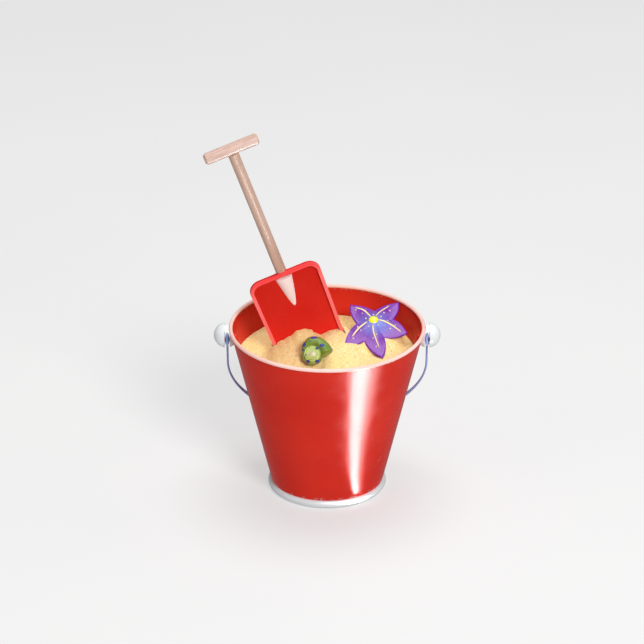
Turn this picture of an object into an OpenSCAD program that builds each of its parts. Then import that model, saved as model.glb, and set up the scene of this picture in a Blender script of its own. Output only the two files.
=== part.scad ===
// Toy sand bucket of painted tin plate, filled with damp sand, with its T-handled spade,
// a toy starfish and a toy sea-snail shell. Millimetres, +Z up.
// The origin is on the bucket's own axis, in the plane that its foot ring stands on.
// The hinge axis of the bail runs along X, and the bail hangs behind the bucket, at +Y.

/* [Bucket] */
// Height from the foot to the top of the rolled rim
bucket_h = 170; // [140:1:205]
// Outer diameter over the rolled rim
rim_d = 190; // [158:1:230]
// Outer diameter of the wall where it leaves the foot ring
foot_wall_d = 109.4; // [90:0.1:132]
// Thickness of the wall sheet
wall_t = 0.8; // [0.5:0.05:1.2]
// Diameter of the rolled rim
rim_bead_d = 3.6; // [3:0.1:4.4]
// Diameter of the wire inside the rolled rim
rim_wire_d = 2.2; // [1.6:0.1:2.4]
// Width of the folded side seam
seam_w = 6; // [4:0.5:8]

/* [Foot] */
// Height of the foot ring
foot_h = 8; // [6.5:0.1:9.6]
// How far the foot ring stands out past the wall
foot_overhang = 3.8; // [2.5:0.1:5]
// Thickness of the bottom sheet
bottom_t = 0.7; // [0.5:0.05:1]

/* [Ears and pivots] */
// Depth of the bail's hinge axis below the top of the rim
pivot_drop = 14.5; // [13.5:0.1:18]
// Diameter of the pivot pin
pin_d = 3.9; // [3:0.1:4.7]
// Radial gap between the pin and the eye that turns on it
pin_gap = 0.05; // [0.02:0.01:0.1]
// Diameter of the domed ear cap
cap_d = 24.2; // [20:0.1:29]
// How far the domed ear cap stands out
cap_h = 10.4; // [8:0.1:12]
// Height of the ear's middle above the pivot pin
cap_rise = 5; // [0:0.1:6]

/* [Bail] */
// Diameter of the bail's legs
leg_d = 2; // [1.6:0.1:2.4]
// Gap between the bail's legs and the rim that they pass
leg_gap = 0.6; // [0.4:0.1:2]
// Length of each straight leg, from the pivot
leg_l = 37.5; // [31:0.1:45]
// Width of the flattened hand hold in the middle of the bail
hold_w = 7; // [5:0.1:8.4]
// Thickness of the hand hold
hold_t = 2.4; // [2:0.1:2.9]
// Thickness of the eye at each end of the bail
eye_t = 4.4; // [3.6:0.1:5.3]
// Diameter of the eye
eye_d = 12.6; // [10.5:0.1:13]
// Gap between the hanging bail and the wall that it hangs against
bail_wall_gap = 0.8; // [0.5:0.1:3]

/* [Sand] */
// Depth of the sand's surface below the top of the rim, at the wall
sand_drop = 30.6; // [25:0.1:36]
// Height of the mound that the spade stands in, above the surface at the wall
mound_h = 16; // [12:0.1:19]
// Radius of the mound
mound_r = 50; // [42:1:60]
// Height of the bank that the starfish leans on, above the surface at the wall
bank_h = 15; // [12.5:0.1:18]
// Radius of the bank
bank_r = 30; // [25:1:36]
// Gap between the sand and what stands or lies in it
sand_gap = 0.3; // [0.2:0.05:0.5]

/* [Spade] */
// Width of the blade at its top
blade_w = 72; // [60:0.5:80]
// Width of the blade at its cutting edge
blade_tip_w = 67.5; // [56:0.5:70]
// Length of the blade
blade_l = 122; // [105:1:146]
// Thickness of the blade sheet
blade_t = 1.6; // [1.2:0.1:2]
// Width of the blade's edge, which is folded forward
hem_w = 3.4; // [2.8:0.1:4.1]
// Depth of the folded edge
hem_depth = 4.4; // [3.6:0.1:5.2]
// Radius of the blade's top corners
blade_corner_r = 12; // [8:0.5:15]
// Diameter of the wooden shaft
shaft_d = 10.5; // [8.8:0.1:11.4]
// Length of shaft from the top of the blade to the middle of the grip
shaft_l = 152.8; // [128:0.1:184]
// Diameter of the grip bar
grip_d = 11.4; // [9.6:0.1:13.6]
// Length of the grip bar
grip_l = 55; // [46:0.5:66]
// Diameter of the shaft socket where the shaft enters it
socket_d = 18.8; // [17:0.1:20]
// Length of blade below the surface of the sand, along its middle
blade_buried = 40; // [32:0.5:48]

/* [Toys on the sand] */
// Thickness of the starfish at its middle
star_t = 7; // [5.5:0.1:8.4]
// Thickness of the starfish at its edge
star_edge_t = 2.2; // [1.5:0.1:2.6]
// Diameter of the button in the middle of the starfish
star_button_d = 9.6; // [8:0.1:11.5]
// Distance from the middle of the shell's spiral to the far side of its largest whorl
shell_r = 18; // [15:0.1:21.6]

/* [Hidden] */

red = [0.80, 0.10, 0.07];
silver = [0.78, 0.81, 0.83];
pale_rim = [0.93, 0.80, 0.76];
white = [0.94, 0.95, 0.95];
blue = [0.42, 0.50, 0.80];
wood = [0.82, 0.66, 0.52];
sand_yellow = [0.94, 0.78, 0.49];
purple = [0.45, 0.17, 0.66];
yellow = [0.95, 0.93, 0.15];
green = [0.36, 0.50, 0.18];

smooth = 240;        // facets of a large circle
overlap = 1;         // how far a cutter runs past what it cuts
far = 400;           // longer than anything here

// Rim and wall
bead_r = rim_bead_d / 2;
bead_circle_r = rim_d / 2 - bead_r;
bead_z = bucket_h - bead_r;
wall_top_z = bead_z - rim_wire_d / 2;
wall_foot_z = 1.2;   // the wall's lower edge, inside the foot ring
wall_slope = (bead_circle_r + wall_t / 2 - foot_wall_d / 2) / (bead_z - foot_h);
seam_t = 0.9;        // how far the side seam stands out
seam_angle = 62;     // where the side seam is, from +X towards +Y

// Outer radius of the wall at height z
function wall_r(z) = foot_wall_d / 2 + wall_slope * (z - foot_h);
// Inner radius of the wall at height z
function wall_in_r(z) = wall_r(z) - wall_t;

// Pivots
pivot_z = bucket_h - pivot_drop;
leg_x = rim_d / 2 + leg_gap + leg_d / 2;
side_gap = 0.3;      // gap each side of the eye
eye_in_x = leg_x - eye_t / 2;
eye_out_x = leg_x + eye_t / 2;
pad_out_x = eye_in_x - side_gap;
cap_in_x = eye_out_x + side_gap;
plate_t = 2.2;       // thickness of the backing plate inside the wall, on the axis
plate_in_x = wall_in_r(pivot_z) - plate_t;
plate_d = 13;
pin_head_d = 8;
pin_head_t = 1.6;
pin_in_cap = 5.5;    // how deep the pin goes into the cap
ear_ball_r = (pow(cap_d / 2, 2) + cap_h * cap_h) / (2 * cap_h);
pad_top_z = bead_z - bead_r - side_gap;   // the pad stops below the rolled rim
brow_y = 3;          // the cap's brow is this far in front of the pin's axis
brow_z = pivot_z + cap_rise + 0.62 * ear_ball_r;

// Bail: it is drawn hanging straight down and then swung back until it meets the wall
arch_r = leg_x;
eye_neck_l = 9;      // from the pivot to where the strap begins
eye_neck_w = 4.4;
bail_depth = leg_l + arch_r;

// Gap between the hand hold's inner edge and the wall, with the bail swung back by angle a
function hold_gap(a) =
    let (y = bail_depth * sin(a) - hold_w / 2 * cos(a) - hold_t / 2 * sin(a),
         z = pivot_z - bail_depth * cos(a) - hold_w / 2 * sin(a))
    (y - wall_r(z)) * cos(atan(wall_slope));
// The smallest swing, to a twentieth of a degree, that leaves bail_wall_gap
function rest_swing(a) = hold_gap(a) >= bail_wall_gap ? a : rest_swing(a + 0.05);
bail_rest = rest_swing(15);

// Sand
sand_z = bucket_h - sand_drop;
mound_x = -10;
mound_y = 17;
bank_x = 46;
bank_y = 30;

// Radius of the ball whose cap is h high and r in radius
function cap_ball_r(h, r) = (r * r + h * h) / (2 * h);
mound_ball_r = cap_ball_r(mound_h, mound_r);
bank_ball_r = cap_ball_r(bank_h, bank_r);

// Height of the mound's surface at x, y
function sand_at(x, y) =
    let (d2 = pow(x - mound_x, 2) + pow(y - mound_y, 2))
    max(sand_z, sand_z + mound_h - mound_ball_r + sqrt(max(0, pow(mound_ball_r, 2) - d2)));

// Spade: its own frame has the origin at the middle of the blade's top edge, +Z along the
// shaft, +X across the blade and the digging face towards -Y. The shaft's axis meets the
// mound's surface at spade_entry
spade_turn = [9.2, -19.8, 10.2];
spade_entry_x = -20;
spade_entry_y = 16.1;
spade_entry = [spade_entry_x, spade_entry_y, sand_at(spade_entry_x, spade_entry_y)];
blade_above = blade_l - blade_buried;
shaft_y = 3.5;       // the shaft's axis lies behind the blade's sheet
blade_tip_corner_r = 14;
tenon_d = 6.8;
tenon_l = 8;
grip_chamfer = 2.2;
socket_z = -6;       // the socket's mouth, below the blade's top edge
socket_l = 40;
socket_tip_d = 7.6;
socket_bore_l = 19;
grip_pin_d = 2.4;
socket_pin_d = 2;

// Toys
star_tilt = 21.8;    // the starfish leans back on the rim
star_angle = 36.7;   // where it lies, from +X towards +Y
star_centre_r = rim_d / 2 - 38.8;
star_centre_drop = 12.8; // depth of its middle below the top of the rim
star_button_t = 2.6;
star_button_seat = 1.4;
// Each arm's tip: its direction in degrees and its length
star_tips = [[-22.4, 35.7], [47, 36.9], [134.3, 33.1], [225.2, 40.6], [280.2, 46.9]];
// The notch after each arm: its direction and its distance from the middle
star_notches = [[14.5, 20.4], [86, 15.7], [182, 16.5], [249, 25.9], [298, 22.8]];
arm_bulge = 0.17;    // how far an arm's sides bow outwards, as a share of their length

shell_x = -14.6;
shell_y = -26;
shell_lean = 55;     // its flat side is turned up towards the front
shell_stand = 7.8;   // height of the spiral's middle above the sand

// Places the children, drawn on the left with the pivot axis along -X, on side -1 or +1
module on_side(side) {
    translate([0, 0, pivot_z]) rotate([0, side * 90, 0]) children();
}

// A solid cone that fills the wall out to its outer surface, or to inset inside it
module wall_core(inset, z0, z1) {
    translate([0, 0, z0])
        cylinder(r1 = wall_r(z0) - inset, r2 = wall_r(z1) - inset, h = z1 - z0, $fn = smooth);
}

// The wall's own section, from z0 to z1, and extra thicker on its inner side
module wall_section(z0, z1, extra = 0) {
    polygon([
        [wall_in_r(z0) - extra, z0], [wall_r(z0), z0],
        [wall_r(z1), z1], [wall_in_r(z1) - extra, z1]
    ]);
}

module wall() {
    color(red) difference() {
        union() {
            rotate_extrude($fn = smooth) wall_section(wall_foot_z, wall_top_z);
            side_seam();
        }
        for (side = [-1, 1])
            on_side(side) cylinder(d = pin_d, h = rim_d, $fn = 32);
    }
}

// The folded lock seam where the wall sheet's two ends meet
module side_seam() {
    seam_foot_z = foot_h + 1;
    seam_top_z = bead_z - bead_r - 1;
    intersection() {
        difference() {
            wall_core(-seam_t, seam_foot_z, seam_top_z);
            wall_core(wall_t / 2, seam_foot_z - overlap, seam_top_z + overlap);
        }
        rotate([0, 0, seam_angle]) translate([0, -seam_w / 2, 0]) cube([rim_d, seam_w, bucket_h]);
    }
}

// The pressed bottom, whose flange turns down inside the wall
module bottom_disc() {
    color(red) rotate_extrude($fn = smooth) {
        polygon([
            [0, foot_h - bottom_t], [wall_in_r(foot_h - bottom_t), foot_h - bottom_t],
            [wall_in_r(foot_h), foot_h], [0, foot_h]
        ]);
        polygon([
            [wall_in_r(wall_foot_z) - bottom_t, wall_foot_z], [wall_in_r(wall_foot_z), wall_foot_z],
            [wall_in_r(foot_h - bottom_t), foot_h - bottom_t],
            [wall_in_r(foot_h - bottom_t) - bottom_t, foot_h - bottom_t]
        ]);
    }
}

// A half-round band, crimped round the wall's lower edge and the bottom's flange
module foot_ring() {
    outer_r = wall_r(foot_h / 2) + foot_overhang;
    inner_lip = 1.1;
    lip_h = foot_h - 2;
    inner_r = wall_in_r(wall_foot_z) - bottom_t - inner_lip;
    round_r = foot_h / 2 + 0.2;
    color(silver) rotate_extrude($fn = smooth) difference() {
        intersection() {
            union() {
                translate([outer_r - round_r, foot_h / 2]) circle(r = round_r, $fn = 64);
                translate([inner_r, 0]) square([outer_r - round_r - inner_r, foot_h]);
            }
            translate([inner_r, 0]) square([far, foot_h]);
        }
        wall_section(wall_foot_z, foot_h + overlap, bottom_t);
        translate([inner_r - overlap, lip_h])
            square([wall_in_r(foot_h) - bottom_t - inner_r + overlap, foot_h]);
    }
}

// The rolled edge, as a tube round the rim wire and open below for the wall
module rim_bead() {
    color(pale_rim) rotate_extrude($fn = smooth) difference() {
        translate([bead_circle_r, bead_z]) circle(r = bead_r, $fn = 48);
        translate([bead_circle_r, bead_z]) circle(d = rim_wire_d, $fn = 48);
        wall_section(bead_z - bead_r - overlap, wall_top_z);
        translate([wall_in_r(wall_top_z), wall_top_z - 0.01]) square([wall_t, rim_wire_d / 4]);
    }
}

module rim_wire() {
    color(silver) rotate_extrude($fn = smooth)
        translate([bead_circle_r, bead_z]) circle(d = rim_wire_d, $fn = 48);
}

// The ball that the two halves of an ear are parts of
module ear_ball(side) {
    on_side(side) translate([-side * cap_rise, 0, cap_in_x + cap_h - ear_ball_r])
        sphere(r = ear_ball_r, $fn = smooth);
}

// A block that reaches from x0 to x1 out along the pivot axis, and over the y and z given
module ear_block(side, x0, x1, y0, y1, z0, z1) {
    translate([side > 0 ? x0 : -x1, y0, z0]) cube([x1 - x0, y1 - y0, z1 - z0]);
}

// The ear's inner half fills the wedge between the sloping wall and the bail's eye
module ear_pad(side) {
    color(white) difference() {
        intersection() {
            ear_ball(side);
            ear_block(side, 0, pad_out_x, -rim_d, rim_d, 0, pad_top_z);
        }
        wall_core(0, 0, bucket_h + far / 8);
        on_side(side) cylinder(d = pin_d, h = rim_d, $fn = 32);
    }
}

// The ear's outer half hides the pin's end and keeps the eye on it. A brow reaches in over
// the gap in front, clear of the rolled rim
module ear_cap(side) {
    color(white) difference() {
        intersection() {
            ear_ball(side);
            ear_block(side, pad_out_x, rim_d, -rim_d, rim_d, 0, far);
        }
        ear_block(side, 0, cap_in_x, -brow_y, rim_d, 0, far);
        ear_block(side, 0, cap_in_x, -rim_d, rim_d, 0, brow_z);
        translate([0, 0, pad_top_z]) cylinder(r = rim_d / 2 + side_gap, h = far / 8, $fn = smooth);
        on_side(side) cylinder(d = pin_d, h = cap_in_x + pin_in_cap, $fn = 32);
    }
}

// The steel pin, with a domed head inside the bucket
module pivot_pin(side) {
    color(silver) on_side(side) {
        translate([0, 0, plate_in_x]) cylinder(d = pin_d, h = cap_in_x + pin_in_cap - plate_in_x, $fn = 32);
        translate([0, 0, plate_in_x - pin_head_t])
            cylinder(d1 = pin_head_d - 2, d2 = pin_head_d, h = pin_head_t, $fn = 48);
    }
}

// The plate inside the wall that the pin's head bears on
module backing_plate(side) {
    color(silver) difference() {
        intersection() {
            on_side(side) translate([0, 0, plate_in_x]) cylinder(d = plate_d, h = rim_d, $fn = 48);
            wall_core(wall_t, 0, bucket_h + far / 8);
        }
        on_side(side) cylinder(d = pin_d, h = rim_d, $fn = 32);
    }
}

// The bail's round, flat end, with a neck that the strap grows out of
module bail_eye(side) {
    color(blue) translate([0, 0, pivot_z]) rotate([bail_rest, 0, 0]) translate([side * leg_x, 0, 0])
        difference() {
            rotate([0, 90, 0]) translate([0, 0, -eye_t / 2]) linear_extrude(eye_t) {
                circle(d = eye_d, $fn = 64);
                translate([0, -eye_neck_w / 2]) square([eye_neck_l, eye_neck_w]);
            }
            rotate([0, 90, 0]) translate([0, 0, -eye_t])
                cylinder(d = pin_d + 2 * pin_gap, h = 2 * eye_t, $fn = 48);
        }
}

// The strap: a ring every few millimetres along leg, half circle and leg. Each entry is the
// place on the bail's own plane, the direction along it, and 0 at the pivots to 1 at the middle
strap_leg_rings = 4;
strap_arch_rings = 56;
strap_sides = 16;
function strap_leg(side) = [
    for (i = [0 : strap_leg_rings - 1])
        let (d = eye_neck_l + (leg_l - eye_neck_l) * i / strap_leg_rings)
        [side * arch_r, -d, 0]
];
strap_arch = [
    for (i = [0 : strap_arch_rings])
        let (a = 180 * i / strap_arch_rings)
        [-arch_r * cos(a), -leg_l - arch_r * sin(a), a]
];
strap_right_leg = strap_leg(1);
strap_path = concat(
    strap_leg(-1), strap_arch,
    [for (i = [strap_leg_rings - 1 : -1 : 0]) [strap_right_leg[i].x, strap_right_leg[i].y, 180]]
);
// How far the section has gone from the round leg to the flat hand hold, at angle a of the arch
function flattening(a) = pow(sin(a), 2);
function strap_ring(p) =
    let (f = flattening(p[2]),
         half_t = (leg_d + (hold_t - leg_d) * f) / 2,
         half_w = (leg_d + (hold_w - leg_d) * f) / 2,
         out = [-cos(p[2]), -sin(p[2])])
    [for (k = [0 : strap_sides - 1])
        let (b = 360 * k / strap_sides)
        [p.x + half_t * cos(b) * out.x, half_w * sin(b), p.y + half_t * cos(b) * out.y]];
module bail_strap() {
    rings = [for (p = strap_path) strap_ring(p)];
    n = len(rings);
    s = strap_sides;
    color(blue) translate([0, 0, pivot_z]) rotate([bail_rest, 0, 0]) polyhedron(
        points = [for (r = rings) each r],
        faces = concat(
            [[for (k = [0 : s - 1]) k]],
            [[for (k = [s - 1 : -1 : 0]) (n - 1) * s + k]],
            [for (i = [0 : n - 2], k = [0 : s - 1])
                let (k2 = (k + 1) % s)
                each [
                    [i * s + k, (i + 1) * s + k, (i + 1) * s + k2],
                    [i * s + k, (i + 1) * s + k2, i * s + k2]
                ]]
        )
    );
}

// Damp sand: the bucket's own shape to the level at the wall, a mound for the spade and a
// bank for the starfish, with the spade's slit and the beds of the two toys left in it
module sand_fill() {
    color(sand_yellow) difference() {
        intersection() {
            wall_core(wall_t, foot_h, bucket_h);
            union() {
                translate([0, 0, -overlap]) cylinder(d = rim_d, h = sand_z + overlap, $fn = smooth);
                translate([mound_x, mound_y, sand_z + mound_h - mound_ball_r])
                    sphere(r = mound_ball_r, $fn = smooth);
                translate([bank_x, bank_y, sand_z + bank_h - bank_ball_r])
                    sphere(r = bank_ball_r, $fn = smooth);
            }
        }
        on_spade() blade_room(sand_gap);
        on_star() translate([0, 0, -sand_gap]) cylinder(r = star_bed_r, h = far / 8, $fn = 64);
        translate([shell_x, shell_y, shell_bed_z]) cylinder(r = shell_bed_r, h = far / 8, $fn = 64);
    }
}

// Moves the children from the spade's own frame to its place in the sand
module on_spade() {
    translate(spade_entry) rotate(spade_turn) translate([0, -shaft_y, blade_above]) children();
}

// Half the blade's width at z below its top edge
function blade_half(z) = (blade_w + (blade_tip_w - blade_w) * -z / blade_l) / 2;

// The outline of the blade's sheet, grown by g all round
module blade_outline(g = 0) {
    tip_x = blade_half(-blade_l) + g;
    tip_r = blade_tip_corner_r + g;
    top_r = blade_corner_r + g;
    for (side = [-1, 1]) {
        translate([side * (blade_half(0) - blade_corner_r), -blade_corner_r]) circle(r = top_r, $fn = 64);
        translate([side * (blade_half(-blade_l) - blade_tip_corner_r), blade_tip_corner_r - blade_l])
            circle(r = tip_r, $fn = 64);
    }
    polygon([
        [-tip_x, blade_tip_corner_r - blade_l], [-blade_half(0) - g, -blade_corner_r],
        [blade_half(0) + g, -blade_corner_r], [tip_x, blade_tip_corner_r - blade_l]
    ]);
    translate([-(blade_half(0) - blade_corner_r), -blade_corner_r - overlap])
        square([2 * (blade_half(0) - blade_corner_r), top_r + overlap]);
    translate([-(tip_x - tip_r), -blade_l - g])
        square([2 * (tip_x - tip_r), tip_r + overlap]);
}

// The room that the blade slides out through: its sheet grown by g, and a straight channel
// on each side that the folded edge passes along
module blade_room(g) {
    channel_in = blade_half(-blade_l) - hem_w - g;
    channel_out = blade_half(0) + g;
    in_plane(blade_t / 2 + g, blade_t + 2 * g) blade_outline(g);
    for (side = [-1, 1])
        translate([side > 0 ? channel_in : -channel_out, blade_t / 2 - hem_depth - g, hem_z - g])
            cube([channel_out - channel_in, hem_depth + 2 * g, blade_l]);
}
hem_z = blade_tip_corner_r - blade_l;   // where the folded edge ends, above the cutting edge

// Extrudes a drawing of the blade from y = back forwards by depth
module in_plane(back, depth) {
    translate([0, back, 0]) rotate([90, 0, 0]) linear_extrude(depth) children();
}

// The pressed blade, with its edge folded forward on both sides and across the top
module spade_blade() {
    color(red) on_spade() difference() {
        union() {
            in_plane(blade_t / 2, blade_t) blade_outline();
            in_plane(blade_t / 2, hem_depth) difference() {
                blade_outline();
                blade_outline(-hem_w);
                translate([-far / 2, hem_z - far]) square([far, far]);
            }
        }
        socket_form();
        translate([0, shaft_y, socket_z - overlap]) cylinder(d = shaft_d, h = far / 8, $fn = 64);
    }
}

// The socket's outside: a cone that pierces the sheet, so that its front half shows on the face
module socket_form() {
    translate([0, shaft_y, socket_z - socket_l])
        cylinder(d1 = socket_tip_d, d2 = socket_d, h = socket_l, $fn = 64);
}

module shaft_socket() {
    color(white) on_spade() difference() {
        socket_form();
        translate([0, shaft_y, socket_z - socket_bore_l]) cylinder(d = shaft_d, h = far / 8, $fn = 64);
        socket_pin_bore();
    }
}

// Across the socket from behind, through its wall and into the shaft
module socket_pin_bore() {
    translate([0, shaft_y, socket_z - socket_bore_l / 2]) rotate([-90, 0, 0])
        cylinder(d = socket_pin_d, h = far / 8, $fn = 32);
}

module spade_shaft() {
    shoulder = shaft_l - grip_d / 2 + 1;   // cut to fit against the round of the grip
    color(wood) on_spade() difference() {
        union() {
            translate([0, shaft_y, socket_z - socket_bore_l])
                cylinder(d = shaft_d, h = shoulder + socket_bore_l - socket_z, $fn = 64);
            translate([0, shaft_y, 0]) cylinder(d = tenon_d, h = shaft_l - grip_d / 2 + tenon_l, $fn = 48);
        }
        difference() {
            grip_form();
            translate([0, shaft_y, 0]) cylinder(d = tenon_d, h = shaft_l + far / 8, $fn = 48);
        }
        grip_pin_form();
        socket_pin_bore();
    }
}

// The grip bar's outside, a round bar with chamfered ends
module grip_form() {
    translate([0, shaft_y, shaft_l]) rotate([0, 90, 0]) {
        cylinder(d = grip_d, h = grip_l - 2 * grip_chamfer, center = true, $fn = 64);
        for (side = [-1, 1])
            translate([0, 0, side * (grip_l - grip_chamfer) / 2])
                cylinder(d1 = grip_d - (side > 0 ? 0 : 2 * grip_chamfer),
                         d2 = grip_d - (side > 0 ? 2 * grip_chamfer : 0),
                         h = grip_chamfer, center = true, $fn = 64);
    }
}

module grip_pin_form() {
    translate([0, shaft_y, shaft_l - grip_d / 2 + tenon_l / 2]) rotate([90, 0, 0])
        cylinder(d = grip_pin_d, h = grip_d - 2, center = true, $fn = 32);
}

module grip_bar() {
    color(wood) on_spade() difference() {
        grip_form();
        translate([0, shaft_y, 0]) cylinder(d = tenon_d, h = shaft_l - grip_d / 2 + tenon_l, $fn = 48);
        grip_pin_form();
    }
}

module grip_pin() {
    color(wood) on_spade() grip_pin_form();
}

module socket_pin() {
    socket_r = socket_tip_d / 2 + (socket_d - socket_tip_d) / 2 * (1 - socket_bore_l / 2 / socket_l);
    pin_start = 1;
    color(silver) on_spade() intersection() {
        socket_pin_bore();
        translate([-socket_pin_d, shaft_y - pin_start, socket_z - socket_bore_l])
            cube([2 * socket_pin_d, socket_r + pin_start, socket_bore_l]);
    }
}

// Moves the children from the starfish's own frame, whose XY plane is its flat underside
module on_star() {
    translate([star_centre_r * cos(star_angle), star_centre_r * sin(star_angle), bucket_h - star_centre_drop])
        rotate([star_tilt, 0, 0]) translate([0, 0, -star_edge_t]) children();
}
star_bed_r = max([for (t = star_tips) t[1]]) + sand_gap;

function polar(a, r) = [r * cos(a), r * sin(a)];
// A side of an arm: n points from a to b, bowed by b away from the straight line
function bowed(a, b, n, bulge) =
    let (side = b - a, out = [side.y, -side.x] * bulge, mid = (a + b) / 2 + out)
    [for (i = [0 : n - 1])
        let (t = i / n)
        a * pow(1 - t, 2) + mid * 2 * t * (1 - t) + b * pow(t, 2)];
arm_steps = 9;
star_arms = len(star_tips);
star_outline = [
    for (i = [0 : star_arms - 1])
        let (before = star_notches[(i + star_arms - 1) % star_arms],
             tip = polar(star_tips[i][0], star_tips[i][1]),
             from = polar(before[0], before[1]),
             to = polar(star_notches[i][0], star_notches[i][1]))
        each concat(bowed(from, tip, arm_steps, arm_bulge), bowed(tip, to, arm_steps, arm_bulge))
];
star_rings = 7;
// Height of the starfish's back at share f of the way out to its edge
function star_back(f) = star_edge_t + (star_t - star_edge_t) * (0.5 + 0.5 * cos(180 * pow(f, 0.8)));
module starfish_body() {
    n = len(star_outline);
    flat_foot = 0.6;     // the edge stands this far above the underside
    points = concat(
        [[0, 0, 0]],
        [for (p = star_outline) [p.x * 0.96, p.y * 0.96, 0]],
        [for (p = star_outline) [p.x, p.y, flat_foot]],
        [for (k = [0 : star_rings - 1], p = star_outline)
            let (f = 1 - k / star_rings) [p.x * f * 0.985, p.y * f * 0.985, star_back(f)]],
        [[0, 0, star_back(0)]]
    );
    bands = star_rings + 2;
    last = len(points) - 1;
    function at(band, i) = 1 + band * n + i % n;
    color(purple) on_star() difference() {
        polyhedron(
            points = points,
            faces = concat(
                [for (i = [0 : n - 1]) [0, at(0, i), at(0, i + 1)]],
                [for (b = [0 : bands - 2], i = [0 : n - 1])
                    each [
                        [at(b, i), at(b + 1, i), at(b + 1, i + 1)],
                        [at(b, i), at(b + 1, i + 1), at(b, i + 1)]
                    ]],
                [for (i = [0 : n - 1]) [last, at(bands - 1, i + 1), at(bands - 1, i)]]
            )
        );
        star_button_form();
    }
}

module star_button_form() {
    translate([0, 0, star_t - star_button_seat])
        cylinder(d1 = star_button_d, d2 = star_button_d - 2, h = star_button_t, $fn = 48);
}

module starfish_button() {
    color(yellow) on_star() star_button_form();
}

// The sea-snail shell, with its spiral's middle at its own origin and its flat side towards +Z:
// rings of points from its outline in to the coil of the older whorls, in front and behind.
// It is cut level where it lies.
// Its outline, as directions in degrees and distances for a shell_r of 18
shell_outline = [
    [-129.4, 9.45], [-90, 9.5], [-60.8, 9.85], [-31.1, 10.6], [-8.8, 10.4], [2, 16.9], [11.7, 21.2],
    [21.3, 20.1], [41.4, 19.3], [63.6, 19.1], [84.4, 18.4], [101.9, 17.5], [122.6, 14.5],
    [146.7, 12.2], [169.7, 10.1], [230.6, 9.45]
];
shell_steps = 60;
shell_scale = shell_r / 18;
coil_r = 8.2 * shell_scale;
coil_z = 7.4 * shell_scale;      // how far the coil stands in front of the spiral's middle
coil_rise = 1.3 * shell_scale;   // how far each step of the coil stands out past the last
whorl_share = 0.5;               // the last whorl's half thickness, as a share of its reach
shell_bed_r = 0.7 * shell_r;
shell_bed_z = sand_at(shell_x, shell_y) - 1.2;

// The outline's distance from the middle, in direction a
function shell_edge(a) = shell_scale * lookup(a < -129.4 ? a + 360 : a, shell_outline);
// Each ring in front: how far it is from the coil's edge towards the outline, and its height
// as a share of the last whorl's
shell_front = [[1, 0], [0.97, 0.3], [0.88, 0.62], [0.74, 0.86], [0.55, 0.99], [0.35, 0.98], [0.14, 0.84]];
shell_back = [[0.6, -0.88], [0.88, -0.55], [0.97, -0.28]];
function whorl_ring(w) = [
    for (i = [0 : shell_steps - 1])
        let (a = -129 + 360 * i / shell_steps, edge = shell_edge(a), r = coil_r + (edge - coil_r) * w[0])
        [r * cos(a), r * sin(a), w[1] * whorl_share * edge]
];
function coil_ring(r, z) = [
    for (i = [0 : shell_steps - 1]) let (a = -129 + 360 * i / shell_steps) [r * cos(a), r * sin(a), z]
];
module shell_form() {
    n = shell_steps;
    rings = concat(
        [coil_ring(coil_r * 0.6, -coil_z)], [for (w = shell_back) whorl_ring(w)],
        [for (w = shell_front) whorl_ring(w)],
        [
            coil_ring(coil_r, coil_z * 0.72), coil_ring(coil_r * 0.88, coil_z),
            coil_ring(coil_r * 0.62, coil_z), coil_ring(coil_r * 0.54, coil_z + coil_rise),
            coil_ring(coil_r * 0.3, coil_z + coil_rise), coil_ring(coil_r * 0.22, coil_z + 2 * coil_rise)
        ]
    );
    last = len(rings) - 1;
    function at(k, i) = 1 + k * n + i % n;
    polyhedron(
        points = concat([[0, 0, -coil_z]], [for (r = rings) each r], [[0, 0, coil_z + 2 * coil_rise]]),
        faces = concat(
            [for (i = [0 : n - 1]) [0, at(0, i), at(0, i + 1)]],
            [for (k = [0 : last - 1], i = [0 : n - 1])
                each [
                    [at(k, i), at(k + 1, i), at(k + 1, i + 1)],
                    [at(k, i), at(k + 1, i + 1), at(k, i + 1)]
                ]],
            [for (i = [0 : n - 1]) [1 + (last + 1) * n, at(last, i + 1), at(last, i)]]
        )
    );
}
module shell_body() {
    color(green) difference() {
        translate([shell_x, shell_y, sand_at(shell_x, shell_y) + shell_stand])
            rotate([shell_lean, 0, 0]) shell_form();
        translate([shell_x, shell_y, shell_bed_z + sand_gap - far / 8])
            cylinder(r = far / 8, h = far / 8, $fn = 32);
    }
}

wall();
bottom_disc();
foot_ring();
rim_bead();
rim_wire();
ear_pad(-1);  // ear_pad_left
ear_pad(1);  // ear_pad_right
ear_cap(-1);  // ear_cap_left
ear_cap(1);  // ear_cap_right
pivot_pin(-1);  // pivot_pin_left
pivot_pin(1);  // pivot_pin_right
backing_plate(-1);  // backing_plate_left
backing_plate(1);  // backing_plate_right
bail_strap();
bail_eye(-1);  // bail_eye_left
bail_eye(1);  // bail_eye_right
sand_fill();
spade_blade();
shaft_socket();
spade_shaft();
grip_bar();
grip_pin();
socket_pin();
starfish_body();
starfish_button();
shell_body();
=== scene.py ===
from math import asin, atan2, cos, exp, floor, hypot, log, pi, radians, sin, sqrt

import bmesh
import bpy
from mathutils import Matrix, Vector, noise


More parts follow.
